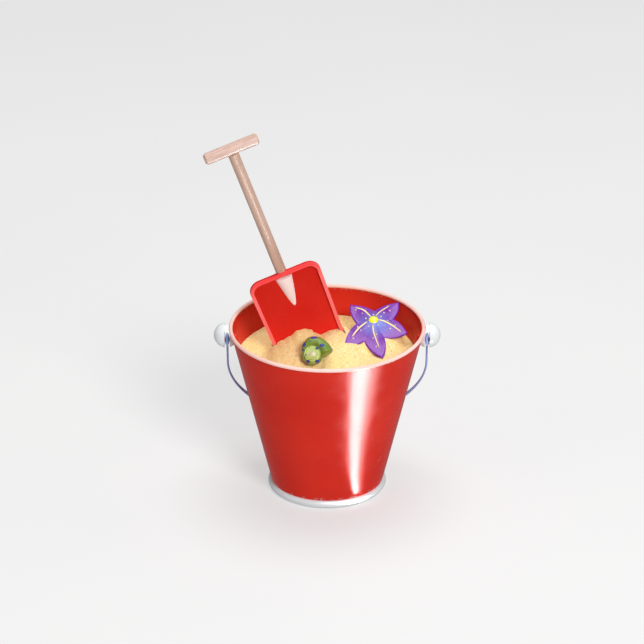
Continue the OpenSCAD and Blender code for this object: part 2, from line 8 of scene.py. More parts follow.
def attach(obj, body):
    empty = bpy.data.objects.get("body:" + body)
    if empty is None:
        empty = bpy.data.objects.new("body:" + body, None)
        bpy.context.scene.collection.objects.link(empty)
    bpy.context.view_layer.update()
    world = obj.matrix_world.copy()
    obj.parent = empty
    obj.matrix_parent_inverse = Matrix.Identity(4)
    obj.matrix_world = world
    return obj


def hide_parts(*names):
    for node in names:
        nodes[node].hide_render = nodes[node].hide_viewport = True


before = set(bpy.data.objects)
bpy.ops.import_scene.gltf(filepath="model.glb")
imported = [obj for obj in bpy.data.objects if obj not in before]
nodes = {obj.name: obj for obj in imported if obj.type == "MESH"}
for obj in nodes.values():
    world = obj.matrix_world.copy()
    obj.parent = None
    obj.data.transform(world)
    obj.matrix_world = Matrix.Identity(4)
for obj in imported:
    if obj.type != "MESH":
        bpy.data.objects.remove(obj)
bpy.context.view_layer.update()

scene = bpy.context.scene
mm = 0.001


# ======================================================================================
# The pale table that the bucket stands on, the studio lamps and the camera.
# A big soft lamp hangs to the front right, a weak one to the left and one above, and a
# tapered white card lies on the table in front, for the enamel to mirror.

def screen(r, g, b):
    """A colour given as 0 to 255 on a screen, as the light that it stands for."""
    light = [c / 3294.6 if c < 10.3 else ((c / 255 + 0.055) / 1.055) ** 2.4 for c in (r, g, b)]
    return (*light, 1.0)


def finish(name, colour, rough, metal=0.0):
    """A new material with its shader set, ready for its grain."""
    material = bpy.data.materials.new(name)
    material.use_nodes = True
    shader = material.node_tree.nodes["Principled BSDF"]
    shader.inputs["Base Color"].default_value = colour
    shader.inputs["Roughness"].default_value = rough
    shader.inputs["Metallic"].default_value = metal
    return material, shader


def step(shader, kind, **settings):
    """One more step in a finish. A setting that is a socket is wired in."""
    tree = shader.id_data
    new = tree.nodes.new("ShaderNode" + kind)
    for key, value in settings.items():
        if hasattr(new, key):
            setattr(new, key, value)
            continue
        socket = new.inputs[int(key[1:]) if key[0] == "_" and key[1:].isdigit() else key.replace("_", " ")]
        if isinstance(value, bpy.types.NodeSocket):
            tree.links.new(value, socket)
        else:
            socket.default_value = value
    return new


def place(shader, stretch=(1, 1, 1), turn=(0, 0, 0)):
    """Where a point is on the piece, in metres, stretched along the piece's own axes."""
    at = step(shader, "TexCoord").outputs["Object"]
    return step(shader, "Mapping", Vector=at, Scale=stretch, Rotation=turn).outputs[0]


def cloud(shader, at, scale, detail=3.0, rough=0.5, bend=0.0):
    return step(shader, "TexNoise", Vector=at, Scale=scale, Detail=detail, Roughness=rough,
                Distortion=bend).outputs["Fac"]


def between(shader, amount, low, high, to_low=0.0, to_high=1.0):
    """amount from low to high, as a number from to_low to to_high."""
    new = step(shader, "MapRange", Value=amount)
    for socket, value in zip(("From Min", "From Max", "To Min", "To Max"), (low, high, to_low, to_high)):
        new.inputs[socket].default_value = value
    return new.outputs[0]


def blend_colour(shader, amount, first, second, how="MIX"):
    tree = shader.id_data
    new = tree.nodes.new("ShaderNodeMix")
    new.data_type, new.blend_type = "RGBA", how
    for socket, value in zip((new.inputs[0], new.inputs[6], new.inputs[7]), (amount, first, second)):
        if isinstance(value, bpy.types.NodeSocket):
            tree.links.new(value, socket)
        else:
            socket.default_value = value
    return new.outputs[2]


def sums(shader, how, a, b=0.0, c=0.0):
    return step(shader, "Math", operation=how, _0=a, _1=b, _2=c).outputs[0]


def into(shader, socket, value):
    shader.id_data.links.new(value, shader.inputs[socket])


def relief(shader, height, depth, strength=1.0, over=None):
    """Raises the surface by depth metres where height is 1."""
    new = step(shader, "Bump", Height=height, Distance=depth, Strength=strength)
    if over is not None:
        shader.id_data.links.new(over, new.inputs["Normal"])
    into(shader, "Normal", new.outputs[0])
    return new.outputs[0]


def ring_spot(reach, turn, height=0.0):
    """A place at a distance and an angle in radians round the Z axis."""
    return Vector((reach * cos(turn), reach * sin(turn), height))


def coat(piece, material):
    piece.data.materials.clear()
    piece.data.materials.append(material)


def bands(rings, around, first=0):
    """The faces between each ring of points and the next one, from the point first."""
    faces = []
    for n in range(rings - 1):
        for k in range(around):
            a, b = first + n * around + k, first + n * around + (k + 1) % around
            faces.append((a, b, b + around, a + around))
    return faces


def fan(tip, first, around):
    """The faces from a tip to the ring of points that begins at first."""
    return [(tip, first + k, first + (k + 1) % around) for k in range(around)]


def skin(name, points, faces, smooth=True):
    """A new piece from its points, in metres, and its faces."""
    mesh = bpy.data.meshes.new(name)
    mesh.from_pydata([tuple(p) for p in points], [], faces)
    mesh.update()
    if smooth:
        mesh.shade_smooth()
    piece = bpy.data.objects.new(name, mesh)
    scene.collection.objects.link(piece)
    return piece


table_top, table_shader = finish("table_top", screen(247, 247, 247), 0.9)
table_shader.inputs["Specular IOR Level"].default_value = 0.0
into(table_shader, "Base Color", blend_colour(
    table_shader, between(table_shader, cloud(table_shader, place(table_shader), 3.0), 0.3, 0.7),
    screen(160, 160, 160), screen(163, 163, 162)))
table_shader.inputs["Emission Color"].default_value = screen(255, 255, 255)
table_shader.inputs["Emission Strength"].default_value = 0.47
table = skin("table", [(-15, -15, 0), (15, -15, 0), (15, 15, 0), (-15, 15, 0)], [(0, 1, 2, 3)])
coat(table, table_top)
table.visible_glossy = False

# The card's middle line runs over the table from the foot of the bucket, and it widens.
# It is bright up to its left edge and fades away to the right.
card_points, card_faces, card_glow = [], [], []
card_across = [(-1.25, 0.0), (-0.95, 0.55), (-0.75, 1.0), (0.0, 1.0), (0.6, 0.85), (1.0, 0.45), (1.5, 0.2),
               (2.1, 0.07), (2.7, 0.0)]
card_stops = [(38, -51, 4), (50, -67, 8), (75, -100, 17), (105, -135, 30), (140, -178, 48), (180, -228, 66)]
for i, (x, y, half) in enumerate(card_stops):
    across = Vector((0.78, 0.62, 0))
    for side, glow in card_across:
        card_points.append((Vector((x, y, 0)) + across * half * side) * mm + Vector((0, 0, 0.0008)))
        card_glow.append(glow)
    if i:
        here, before = i * len(card_across), (i - 1) * len(card_across)
        card_faces += [(before + k, before + k + 1, here + k + 1, here + k)
                       for k in range(len(card_across) - 1)]
card = skin("reflector_card", card_points, card_faces)
card_white, card_shader = finish("card_white", screen(255, 255, 255), 1.0)
card_shader.inputs["Emission Color"].default_value = screen(255, 255, 255)
glowing = card.data.attributes.new("glow", "FLOAT", "POINT")
for i, glow in enumerate(card_glow):
    glowing.data[i].value = glow
into(card_shader, "Emission Strength", between(
    card_shader, step(card_shader, "Attribute", attribute_name="glow").outputs["Fac"], 0, 1, 0, 105))
coat(card, card_white)
card.visible_camera = card.visible_diffuse = card.visible_shadow = card.visible_transmission = False


def soft_lamp(name, at, size, watts):
    lamp = bpy.data.lights.new(name, "AREA")
    lamp.shape, lamp.size, lamp.energy = "DISK", size, watts
    held = bpy.data.objects.new(name, lamp)
    held.location = at
    held.rotation_euler = (Vector((0, 0, 0.15)) - Vector(at)).to_track_quat("-Z", "Y").to_euler()
    scene.collection.objects.link(held)


soft_lamp("lamp_front_right", (0.9, -2.2, 1.9), 1.1, 66)
soft_lamp("lamp_left", (-2.2, -1.0, 1.3), 1.6, 4)
soft_lamp("lamp_above", (0.1, 0.5, 2.4), 1.6, 33)

scene.world = bpy.data.worlds.new("room")
scene.world.use_nodes = True
scene.world.node_tree.nodes["Background"].inputs[0].default_value = screen(252, 252, 255)
scene.world.node_tree.nodes["Background"].inputs[1].default_value = 0.26
scene.view_settings.view_transform = "Standard"

camera_height = radians(26.07)
camera_way = 5.2
lens = bpy.data.cameras.new("camera")
lens.sensor_width, lens.lens = 36.0, 36.0 * camera_way / 0.6215
lens.clip_start, lens.clip_end = 0.1, 60
camera = bpy.data.objects.new("camera", lens)
back = Vector((0, -cos(camera_height), sin(camera_height)))
camera.location = Vector((-0.005, 0, 0.1743)) + back * camera_way
camera.rotation_euler = (-back).to_track_quat("-Z", "Y").to_euler()
scene.collection.objects.link(camera)
scene.camera = camera


# ======================================================================================
# The pail: a cone of tin plate with a pressed bottom, both in glossy red enamel.
# The enamel is stoved on, so it has a faint orange peel, and the pail has been used:
# fine scratches, and the tin showing through in specks at the foot and under the rim.

def enamel(name, colour, deep, rough=0.2, worn=None):
    """Stoved enamel. worn is (height it wears off at, how far that reaches), in metres."""
    material, shader = finish(name, colour, rough)
    shader.inputs["Specular IOR Level"].default_value = 0.08
    at = place(shader)
    tone = blend_colour(shader, between(shader, cloud(shader, at, 16, 4), 0.35, 0.65), colour, deep)
    scratch = cloud(shader, place(shader, (1, 1, 0.12), (0.3, 0.5, 0.2)), 900, 2)
    dull = between(shader, cloud(shader, at, 60, 5, 0.65), 0.35, 0.75, rough * 0.75, rough * 1.6)
    dull = sums(shader, "ADD", dull, between(shader, scratch, 0.66, 0.72, 0.0, 0.12))
    if worn:
        up = step(shader, "SeparateXYZ", Vector=at).outputs[2]
        chips = cloud(shader, at, 260, 6, 0.62)
        for height, reach in worn:
            away = sums(shader, "ABSOLUTE", sums(shader, "SUBTRACT", up, height))
            near = between(shader, away, 0, reach, 0.16, -0.1)
            chip = between(shader, sums(shader, "ADD", chips, near), 0.72, 0.735)
            tone = blend_colour(shader, chip, tone, screen(150, 148, 146))
    into(shader, "Base Color", tone)
    into(shader, "Roughness", dull)
    peel = relief(shader, cloud(shader, at, 420, 2), 0.00005, 0.35)
    relief(shader, cloud(shader, at, 28, 2), 0.0004, 0.25, peel)
    return material


pail_red = enamel("pail_red", screen(206, 46, 32), screen(198, 40, 28), 0.2,
                  [(0.0095, 0.004), (0.1655, 0.0016)])
coat(nodes["wall"], pail_red)
coat(nodes["bottom_disc"], pail_red)


# ======================================================================================
# The foot ring: a half-round band of bare tin plate, crimped round the foot of the wall.
# Its tone varies a little at random, and its roughness in fine streaks that run round it.

def bare_tin(name, colour, rough, lay=(1, 1, 22), metal=1.0):
    material, shader = finish(name, colour, rough, metal)
    at = place(shader)
    drawn = cloud(shader, place(shader, lay), 70, 4, 0.6)
    tone = blend_colour(shader, between(shader, cloud(shader, at, 45, 5, 0.6), 0.3, 0.7),
                        colour, screen(232, 234, 236))
    into(shader, "Base Color", tone)
    into(shader, "Roughness", between(shader, drawn, 0.3, 0.7, rough * 0.7, rough * 1.5))
    relief(shader, cloud(shader, place(shader, lay), 260, 3), 0.00006, 0.5)
    return material


foot_tin = bare_tin("foot_tin", screen(232, 235, 238), 0.4, metal=0.3)
coat(nodes["foot_ring"], foot_tin)


# ======================================================================================
# The rolled rim: the wall's own edge, curled over a steel wire and enamelled pale. Its pink
# tint is a painted reflection of the red wall.
# The wire shows only as the roll's stiffness, and in the gap under the roll.

# Pale enamel tinted pink: the pink is a painted reflection of the red wall.
rim_pale_painted_pink_reflection = enamel("rim_pale_painted_pink_reflection", screen(244, 206, 196), screen(238, 190, 178), 0.24)
coat(nodes["rim_bead"], rim_pale_painted_pink_reflection)
wire_steel = bare_tin("wire_steel", screen(150, 152, 156), 0.35)
coat(nodes["rim_wire"], wire_steel)


# ======================================================================================
# The ears: on each side a turned pad on the wall, a domed cap outside it, and a steel
# pin through both, headed over a plate inside the pail. Pads and caps are white enamel,
# and the plate and the pin's head were enamelled red with the pail.

ear_white = enamel("ear_white", screen(226, 229, 230), screen(214, 218, 219), 0.18)
for side in ("left", "right"):
    coat(nodes["ear_pad_" + side], ear_white)
    coat(nodes["ear_cap_" + side], ear_white)
    coat(nodes["pivot_pin_" + side], pail_red)
    coat(nodes["backing_plate_" + side], pail_red)


def soften(piece, width, segments=3):
    """Rounds the corners that a turned or pressed piece never has sharp."""
    rounded = piece.modifiers.new("soft_edge", "BEVEL")
    rounded.width, rounded.segments, rounded.limit_method = width, segments, "ANGLE"
    rounded.angle_limit = radians(40)
    rounded.use_clamp_overlap = True


for side in ("left", "right"):
    soften(nodes["ear_pad_" + side], 0.0005)
    soften(nodes["ear_cap_" + side], 0.0007)


# ======================================================================================
# The bail: one length of steel wire in blue enamel, round at the legs and hammered flat
# where the hand holds it. Each end is formed into an eye that turns on the pivot pin.

bail_blue = enamel("bail_blue", screen(152, 170, 222), screen(134, 152, 208), 0.25)
# The eyes take a lighter copy of the bail's blue: painted light that lifts them out of shade.
eye_blue_painted_light = enamel("eye_blue_painted_light", screen(188, 206, 255), screen(172, 190, 248), 0.18)
strap_node = nodes["bail_strap"]
hinge_z = 0.1555
middle = [v.co for v in strap_node.data.vertices if abs(v.co.x) < 0.004]
middle = sum(middle, Vector()) / len(middle)
swing = atan2(middle.y, hinge_z - middle.z)
leg_x, leg_end, leg_start = 96.6, 37.5, 5.6
leg_steps, bend_steps, around = 9, 140, 28
leg = [(-leg_x, -leg_start - (leg_end - leg_start) * i / leg_steps, 0.0) for i in range(leg_steps)]
bend = [(-leg_x * cos(t), -leg_end - leg_x * sin(t), t)
        for t in (pi * i / bend_steps for i in range(bend_steps + 1))]
way = leg + bend + [(leg_x, down, pi) for _, down, _ in reversed(leg)]
points, faces = [], []
for n, (x, down, turn) in enumerate(way):
    flat = sin(turn) ** 2
    thick, wide = 1.0 + 0.2 * flat, 1.0 + 2.5 * flat
    dent = 0.05 * noise.noise(Vector((n * 0.35, 3.1, 0)))
    for k in range(around):
        b = 2 * pi * k / around
        square = 1 - 0.35 * flat
        c = abs(cos(b)) ** square * (1 if cos(b) > 0 else -1)
        s = abs(sin(b)) ** square * (1 if sin(b) > 0 else -1)
        reach = (thick + dent * flat) * c
        points.append(Vector((x - reach * cos(turn), wide * s, down - reach * sin(turn))) * mm)
    if n:
        for k in range(around):
            a, d = (n - 1) * around + k, (n - 1) * around + (k + 1) % around
            faces.append((a, a + around, d + around, d))
faces.append(tuple(range(around)))
faces.append(tuple(range(len(points) - 1, len(points) - around - 1, -1)))
lean = Matrix.Translation((0, 0, hinge_z)) @ Matrix.Rotation(swing, 4, "X")
strap = skin("bail_wire", [lean @ p for p in points], faces)

# Each eye is an oval bead round the pin: its bore's radius, its own and half its width.
eye_bore, eye_round, eye_half, eye_around = 2.0, 6.3, 2.2, 72
bore_turn = asin(eye_bore / eye_round)
stops = 21
profile = [(eye_round * sin(t), eye_half * cos(t))
           for t in (bore_turn + (pi - 2 * bore_turn) * k / (stops - 1) for k in range(stops))]
for side, x in (("left", -leg_x), ("right", leg_x)):
    points, faces = [], []
    for k in range(eye_around):
        turn = 2 * pi * k / eye_around
        points += [lean @ (Vector((x + off, r * cos(turn), r * sin(turn))) * mm) for r, off in profile]
        here, there = stops * k, stops * ((k + 1) % eye_around)
        faces += [(here + n, there + n, there + (n + 1) % stops, here + (n + 1) % stops)
                  for n in range(stops)]
    eye = skin("bail_eye_bead_" + side, points, faces)
    coat(eye, eye_blue_painted_light)
    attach(eye, "bail")
    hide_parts("bail_eye_" + side)
coat(strap, bail_blue)
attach(strap, "bail")
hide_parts("bail_strap")


# ======================================================================================
# The starfish: a toy cast in purple plastic, thick in the middle and thin at the tips.
# Each arm has a cream line and cream beads raised on it, and a yellow button in the
# middle. It lies on the bank of sand with two arms pressed in.

star_tilt, star_spot = radians(21.8), Vector((45.09, 33.59, 157.2))
star_edge, star_top = 2.2, 7.0
star_frame = (Matrix.Translation(star_spot) @ Matrix.Rotation(star_tilt, 4, "X")
              @ Matrix.Translation((0, 0, -star_edge)))
star_tips = [(-22.4, 35.7), (47, 36.9), (134.3, 33.1), (225.2, 40.6), (280.2, 46.9)]
star_notches = [(14.5, 20.4), (86, 15.7), (182, 16.5), (249, 25.9), (298, 22.8)]


def polar(angle, reach):
    return ring_spot(reach, radians(angle))


def bowed(a, b, count, bulge):
    side = b - a
    mid = (a + b) / 2 + Vector((side.y, -side.x, 0)) * bulge
    return [a * (1 - t) ** 2 + mid * 2 * t * (1 - t) + b * t * t for t in (i / count for i in range(count))]


star_outline = []
for i in range(5):
    tip, start, end = polar(*star_tips[i]), polar(*star_notches[i - 1]), polar(*star_notches[i])
    star_outline += bowed(start, tip, 26, 0.17) + bowed(tip, end, 26, 0.17)


def star_height(f):
    return star_edge + (star_top - star_edge) * (0.5 + 0.5 * cos(pi * min(f, 1) ** 0.8))


def edge_share(x, y):
    """How far out a place on the starfish is: 0 at the middle, 1 at its outline."""
    reach, angle = hypot(x, y), atan2(y, x)
    best = 99.0
    n = len(star_outline)
    for i in range(n):
        p, q = star_outline[i], star_outline[(i + 1) % n]
        cross = p.x * q.y - p.y * q.x
        along = (x * q.y - y * q.x, p.x * y - p.y * x)
        if along[0] >= 0 and along[1] >= 0 and cross > 0:
            best = (along[0] + along[1]) / cross
    return best


count = len(star_outline)
rings = 22
foot_up = Vector((0, 0, 0.6))
points = [Vector((0, 0, 0))] + [p * 0.96 for p in star_outline] + [p + foot_up for p in star_outline]
for k in range(rings):
    f = 1 - k / rings
    for p in star_outline:
        q = p * f * 0.985
        grain = noise.noise(Vector((q.x * 0.35, q.y * 0.35, 1.7))) * 0.18 * (1 - f) ** 0.5
        points.append(Vector((q.x, q.y, star_height(f) + grain - 2 * max(0, f - 0.9))))
points.append(Vector((0, 0, star_height(0))))
faces = [(0, 1 + (i + 1) % count, 1 + i) for i in range(count)]
last = len(points) - 1
faces += bands(rings + 2, count, 1) + fan(last, last - count, count)
starfish = skin("starfish", [(star_frame @ p) * mm for p in points], faces)
shares = starfish.data.attributes.new("outward", "FLOAT", "POINT")
for i, p in enumerate(points):
    ring = max(0, (i - 1) // count - 2)
    shares.data[i].value = 1 - ring / rings if i < last else 0.0

star_purple, star_shader = finish("star_purple", screen(124, 22, 166), 0.34)
star_shader.inputs["Coat Weight"].default_value = 0.15
star_shader.inputs["Subsurface Weight"].default_value = 0.06
star_shader.inputs["Subsurface Radius"].default_value = (0.004, 0.002, 0.004)
at = place(star_shader)
outward = step(star_shader, "Attribute", attribute_name="outward").outputs["Fac"]
# Round the raised middle, a little to the front right, the purple turns pale blue: a painted highlight.
painted_highlight_middle = star_spot * mm + Vector((0.002, -0.004, 0))
centre_at = step(star_shader, "VectorMath", operation="DISTANCE", _1=tuple(painted_highlight_middle),
                 _0=step(star_shader, "TexCoord").outputs["Object"]).outputs["Value"]
pale = between(star_shader, sums(star_shader, "ADD", centre_at, between(
    star_shader, cloud(star_shader, at, 90, 4), 0.3, 0.7, -0.003, 0.003)), 0.004, 0.021, 1.0, 0.0)
tone = blend_colour(star_shader, pale, screen(114, 14, 158), screen(118, 134, 214))
tone = blend_colour(star_shader, between(star_shader, outward, 0.86, 1.0), tone, screen(116, 22, 164))
mottle = between(star_shader, cloud(star_shader, at, 700, 2), 0.55, 0.75, 0.0, 0.35)
tone = blend_colour(star_shader, mottle, tone, screen(96, 20, 140))
into(star_shader, "Base Color", tone)
pebbles = step(star_shader, "TexVoronoi", Vector=at, Scale=900.0).outputs["Distance"]
pebbled = relief(star_shader, pebbles, 0.00025, 0.5)
relief(star_shader, cloud(star_shader, at, 260, 4), 0.0003, 0.4, pebbled)
coat(starfish, star_purple)
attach(starfish, "starfish")
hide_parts("starfish_body")

star_lines = {
    "upper_left": [(-3.2, 5.1), (-7.4, 12.9), (-11.0, 16.8), (-17.7, 19.7)],
    "upper_right": [(2.2, 5.1), (5.9, 12.4), (11.3, 18.1), (15.5, 22.1)],
    "right": [(5.2, 0.5), (11.9, -1.1), (19.1, -5.5), (26.4, -12.0)],
    "lower_left": [(-6.2, -1.8), (-12.8, -7.1), (-17.1, -12.5), (-20.7, -18.5)],
    "lower": [(-0.8, -6.3), (-0.2, -13.6), (1.6, -21.0), (5.2, -32.3)],
}
line_steps, line_sides = 25, 8
points, faces = [], []
for name, line_stops in star_lines.items():
    spline = [Vector((x, y, 0)) for x, y in line_stops]
    slim = 0.7 if name in ("upper_right", "lower") else 1.05
    first = len(points)
    for i in range(line_steps):
        t = i / (line_steps - 1)
        j = min(int(t * 3), 2)
        f = t * 3 - j
        p0, p1, p2, p3 = spline[max(j - 1, 0)], spline[j], spline[j + 1], spline[min(j + 2, 3)]
        p = (p1 * 2 + (p2 - p0) * f + (p0 * 2 - p1 * 5 + p2 * 4 - p3) * f * f
             + (p1 * 3 - p0 - p2 * 3 + p3) * f ** 3) / 2
        way_on = (p2 - p1).normalized()
        across = Vector((-way_on.y, way_on.x, 0))
        wide = slim * (0.35 + 0.65 * sin(pi * min(t * 1.05, 1) ** 0.8) ** 0.6)
        floor_z = star_height(edge_share(p.x, p.y) / 0.985)
        for k in range(line_sides):
            s = 2 * pi * k / line_sides
            off = across * wide * cos(s) + Vector((0, 0, floor_z + wide * 0.55 * sin(s)))
            points.append(star_frame @ (p + off) * mm)
    faces += bands(line_steps, line_sides, first)
    faces.append(tuple(first + k for k in range(line_sides - 1, -1, -1)))
    faces.append(tuple(len(points) - line_sides + k for k in range(line_sides)))
star_dots = [(-17.1, 16.0), (-10.7, 10.4), (-8.0, 15.6), (-7.4, 2.9), (-15.3, -6.3), (-12.2, -12.0),
             (-19.7, -20.6), (-4.8, -7.9), (0.1, 9.1), (4.4, -6.0), (10.1, 10.8), (15.9, 14.8), (7.3, 5.1),
             (13.9, 1.8), (20.9, -3.9), (16.3, -8.8), (2.8, -17.4), (-0.5, -21.3), (2.5, -31.5)]
dot_rings, dot_around = 5, 12
for n, (x, y) in enumerate(star_dots):
    size = 0.78 + 0.22 * noise.noise(Vector((n * 1.7, 0.5, 0)))
    spot = Vector((x, y, star_height(edge_share(x, y) / 0.985) - 0.15))
    first = len(points)
    for ring in range(dot_rings):
        lift = pi / 2 * ring / dot_rings
        for k in range(dot_around):
            off = ring_spot(size * cos(lift), 2 * pi * k / dot_around, size * 0.75 * sin(lift))
            points.append(star_frame @ (spot + off) * mm)
    points.append(star_frame @ (spot + Vector((0, 0, size * 0.75))) * mm)
    tip = len(points) - 1
    faces += bands(dot_rings, dot_around, first) + fan(tip, tip - dot_around, dot_around)
    faces.append(tuple(first + k for k in range(dot_around - 1, -1, -1)))
star_beads = skin("starfish_beads", points, faces)
bead_cream, bead_shader = finish("bead_cream", screen(250, 232, 150), 0.35)
bead_shader.inputs["Coat Weight"].default_value = 0.4
into(bead_shader, "Base Color", blend_colour(
    bead_shader, between(bead_shader, cloud(bead_shader, place(bead_shader), 260, 3), 0.35, 0.65),
    screen(252, 234, 110), screen(250, 222, 170)))
coat(star_beads, bead_cream)
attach(star_beads, "starfish")

button_yellow, button_shader = finish("button_yellow", screen(246, 240, 20), 0.3)
button_shader.inputs["Coat Weight"].default_value = 0.5
into(button_shader, "Base Color", blend_colour(
    button_shader, between(button_shader, cloud(button_shader, place(button_shader), 300, 3), 0.35, 0.65),
    screen(250, 244, 24), screen(238, 226, 20)))
dimples = step(button_shader, "TexVoronoi", Vector=place(button_shader), Scale=1100.0).outputs["Distance"]
relief(button_shader, dimples, 0.0003, 0.6)
button_rings, button_around, button_r, button_seat, button_rise = 9, 40, 4.9, 5.6, 2.5
points = []
for ring in range(button_rings):
    lift = pi / 2 * ring / button_rings
    for k in range(button_around):
        s = 2 * pi * k / button_around
        wave = 1 + 0.035 * sin(10 * s) * cos(lift)
        spot = ring_spot(button_r * wave * cos(lift) ** 0.8, s, button_seat + button_rise * sin(lift))
        points.append(star_frame @ spot * mm)
points.append(star_frame @ Vector((0, 0, button_seat + button_rise)) * mm)
tip = len(points) - 1
faces = bands(button_rings, button_around) + fan(tip, tip - button_around, button_around)
faces.append(tuple(range(button_around - 1, -1, -1)))
button = skin("starfish_button_dome", points, faces)
coat(button, button_yellow)
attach(button, "starfish")
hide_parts("starfish_button")


# ======================================================================================
# The shell: a toy snail shell cast in glossy green plastic. Its pale coil stands out in
# front and its last whorl swells over the top to a pointed lip. It lies in the sand.

shell_spot = Vector((-14.6, -26.0, 151.5))
shell_frame = Matrix.Translation(shell_spot) @ Matrix.Rotation(radians(55), 4, "X")
shell_rim = [(-129.4, 9.45), (-90, 9.5), (-60.8, 9.85), (-31.1, 10.6), (-8.8, 10.4), (2, 16.9),
             (11.7, 21.2), (21.3, 20.1), (41.4, 19.3), (63.6, 19.1), (84.4, 18.4), (101.9, 17.5),
             (122.6, 14.5), (146.7, 12.2), (169.7, 10.1), (230.6, 9.45)]
shell_steps = 168


def shell_reach(angle):
    """How far the shell's outline is from the middle of its coil, with the corners eased."""
    total = 0.0
    for shift, weight in ((-5, 1), (-2.5, 2), (0, 3), (2.5, 2), (5, 1)):
        a = (angle + shift + 129.4) % 360 - 129.4
        for (a0, r0), (a1, r1) in zip(shell_rim, shell_rim[1:]):
            if a0 <= a <= a1:
                total += weight * (r0 + (r1 - r0) * (a - a0) / (a1 - a0))
                break
    return total / 9


def suture(angle):
    """The coil's outer edge, which winds in by a sixth over its turn."""
    return 8.7 * 0.66 ** (((angle + 60) % 360) / 360 * 0.45)


def coil_height(angle, r):
    wound = log(max(r, 0.3) / 8.7) / log(0.66) - ((angle + 60) % 360) / 360
    swell_in = wound - floor(wound)
    dome = 7.0 + 2.4 * (1 - (r / 8.7) ** 1.5)
    return dome + 0.105 * r * (abs(sin(pi * swell_in)) ** 0.6 - 0.6)


# Each ring of the last whorl: how far out from the coil it is, and its share of the height.
outer = [(1.0, 0.0), (0.985, 0.2), (0.95, 0.38), (0.9, 0.53), (0.83, 0.68), (0.75, 0.8), (0.66, 0.89),
         (0.56, 0.955), (0.46, 0.99), (0.36, 1.0), (0.27, 0.98), (0.18, 0.93), (0.1, 0.85), (0.04, 0.76)]
under = [(0.35, -0.86), (0.62, -0.86), (0.8, -0.68), (0.9, -0.5), (0.965, -0.3), (0.99, -0.14)]
rows = []
for share, level in under + outer:
    row = []
    for k in range(shell_steps):
        angle = 360 * k / shell_steps
        edge, start = shell_reach(angle), suture(angle)
        r = start + (edge - start) * share
        rib = 1 + 0.012 * sin(radians(angle) * 34) * share
        row.append(ring_spot(r, radians(angle), level * 0.5 * edge * rib))
    rows.append(row)
coil_rows, coil_dip = 26, 0.9
for n in range(coil_rows):
    row = []
    for k in range(shell_steps):
        angle = 360 * k / shell_steps
        r = suture(angle) * (1 - n / coil_rows) ** 0.9
        row.append(ring_spot(r, radians(angle), coil_height(angle, r) - (0 if n else coil_dip)))
    rows.append(row)
points = [Vector((0, 0, -4.2))] + [p for row in rows for p in row] + [Vector((0, 0, 9.3))]
last = len(points) - 1
faces = [(0, 1 + (k + 1) % shell_steps, 1 + k) for k in range(shell_steps)]
faces += bands(len(rows), shell_steps, 1) + fan(last, last - shell_steps, shell_steps)
points = [(shell_frame @ p) * mm for p in points]
shell = skin("snail_shell", points, faces)
marks = shell.data.attributes.new("spots", "FLOAT", "POINT")
coil = shell.data.attributes.new("coil", "FLOAT", "POINT")
# Each spot: its middle and half its width and height
spots = [(1.8, 16.1, 3.4, 1.8), (-7.8, 9.7, 2.0, 2.8), (9.7, 8.2, 2.4, 1.8), (4.6, 5.5, 1.6, 1.4),
         (-1.8, 12.2, 0.9, 0.9), (-8.6, 4.3, 1.0, 1.4), (-4.2, -7.0, 2.4, 1.4), (5.4, -6.8, 2.4, 1.4),
         (-6.0, -0.9, 0.8, 0.8)]
undo = shell_frame.inverted()
for i, p in enumerate(points):
    q = undo @ (p / mm)
    nearest = min(hypot((q.x - x) / w, (q.y - y) / h) for x, y, w, h in spots)
    marks.data[i].value = max(0.0, 1.6 - nearest) if q.z > -3 else 0.0
    coil.data[i].value = hypot(q.x, q.y) / 10
shell_green, shell_shader = finish("shell_green", screen(100, 128, 40), 0.36)
shell_shader.inputs["Coat Weight"].default_value = 0.25
at = place(shell_shader)
how_far = step(shell_shader, "Attribute", attribute_name="coil").outputs["Fac"]
spotted = step(shell_shader, "Attribute", attribute_name="spots").outputs["Fac"]
tone = blend_colour(shell_shader, between(shell_shader, cloud(shell_shader, at, 120, 4), 0.35, 0.65),
                    screen(100, 132, 36), screen(122, 152, 54))
on_coil = between(shell_shader, how_far, 0.78, 0.9, 1.0, 0.0)
tone = blend_colour(shell_shader, on_coil, tone, screen(172, 192, 98))
in_middle = between(shell_shader, how_far, 0.12, 0.4, 1.0, 0.0)
tone = blend_colour(shell_shader, in_middle, tone, screen(200, 188, 160))
speck = between(shell_shader, cloud(shell_shader, at, 420, 4, 0.7), 0.5, 0.68, 0.0, 0.55)
tone = blend_colour(shell_shader, speck, tone, screen(70, 96, 40))
ragged = sums(shell_shader, "ADD", spotted,
              between(shell_shader, cloud(shell_shader, at, 500, 3), 0.3, 0.7, -0.12, 0.12))
tone = blend_colour(shell_shader, between(shell_shader, ragged, 0.56, 0.7), tone, screen(40, 62, 150))
into(shell_shader, "Base Color", tone)
relief(shell_shader, cloud(shell_shader, at, 500, 4), 0.0002, 0.4)
coat(shell, shell_green)
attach(shell, "shell")
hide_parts("shell_body")


# ======================================================================================
# The sand: fine, damp and pale yellow. It fills the pail to 3 cm below the rim, with a
# mound heaped round the blade and a bank under the starfish. The blade's own slit goes
# down through it.

sand_level = 139.4
foot_r, slope, foot_z, sheet = 54.7, 0.24282, 8.0, 0.8
spade_turn = (Matrix.Rotation(radians(10.2), 3, "Z") @ Matrix.Rotation(radians(-19.8), 3, "Y")
              @ Matrix.Rotation(radians(9.2), 3, "X"))
blade_top = Vector((-43.866, -5.025, 230.446))
blade_side, blade_back, blade_up = (spade_turn @ Vector(v) for v in ((1, 0, 0), (0, 1, 0), (0, 0, 1)))
